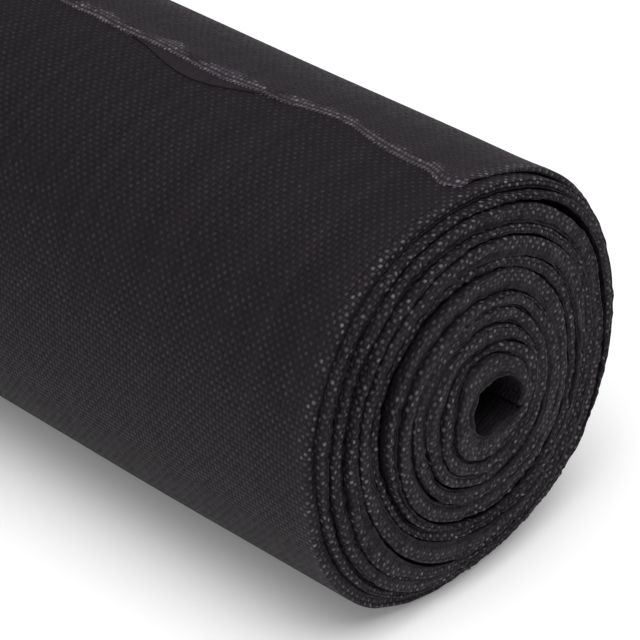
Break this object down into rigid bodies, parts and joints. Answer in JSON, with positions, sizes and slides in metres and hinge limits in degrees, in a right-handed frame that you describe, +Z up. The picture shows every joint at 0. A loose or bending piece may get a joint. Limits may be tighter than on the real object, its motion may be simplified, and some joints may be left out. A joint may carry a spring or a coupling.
{
  "type": "weed control fabric roll",
  "caption": "Black woven weed control fabric, folded in half and wound into a loose roll without a core, its free end lying on top, able to lift.",
  "frame": {"origin": "middle of the roll's box, on the ground that it lies on", "axes": "+X along the roll to the folded edge's end, +Z up, +Y to the back, where the free end comes up"},
  "size_m": [1.008, 0.2116, 0.2163],
  "materials": {
    "woven_fabric": "matte black flat-tape weave with a faint sheen"
  },
  "bodies": {
    "roll": {"wound_web": "woven_fabric"},
    "tail_lower": {"tail_lower_panel": "woven_fabric"},
    "tail_middle": {"tail_middle_panel": "woven_fabric"},
    "tail_top": {"tail_top_panel": "woven_fabric"}
  },
  "joints": [
    {"name": "tail_lift", "type": "hinge", "parent": "roll", "child": "tail_lower", "pos_m": [0, 0.10579, 0.09449], "axis": [-1, 0, 0], "range_deg": [0, 35]},
    {"name": "tail_middle_bend", "type": "hinge", "parent": "tail_lower", "child": "tail_middle", "pos_m": [0, 0.09034, 0.15914], "axis": [-1, 0, 0], "range_deg": [0, 35]},
    {"name": "tail_top_bend", "type": "hinge", "parent": "tail_middle", "child": "tail_top", "pos_m": [0, 0.04244, 0.20567], "axis": [-1, 0, 0], "range_deg": [0, 35]}
  ],
  "couplings": [
    {"joint": "tail_middle_bend", "follows": "tail_lift", "ratio": 1},
    {"joint": "tail_top_bend", "follows": "tail_lift", "ratio": 1}
  ]
}
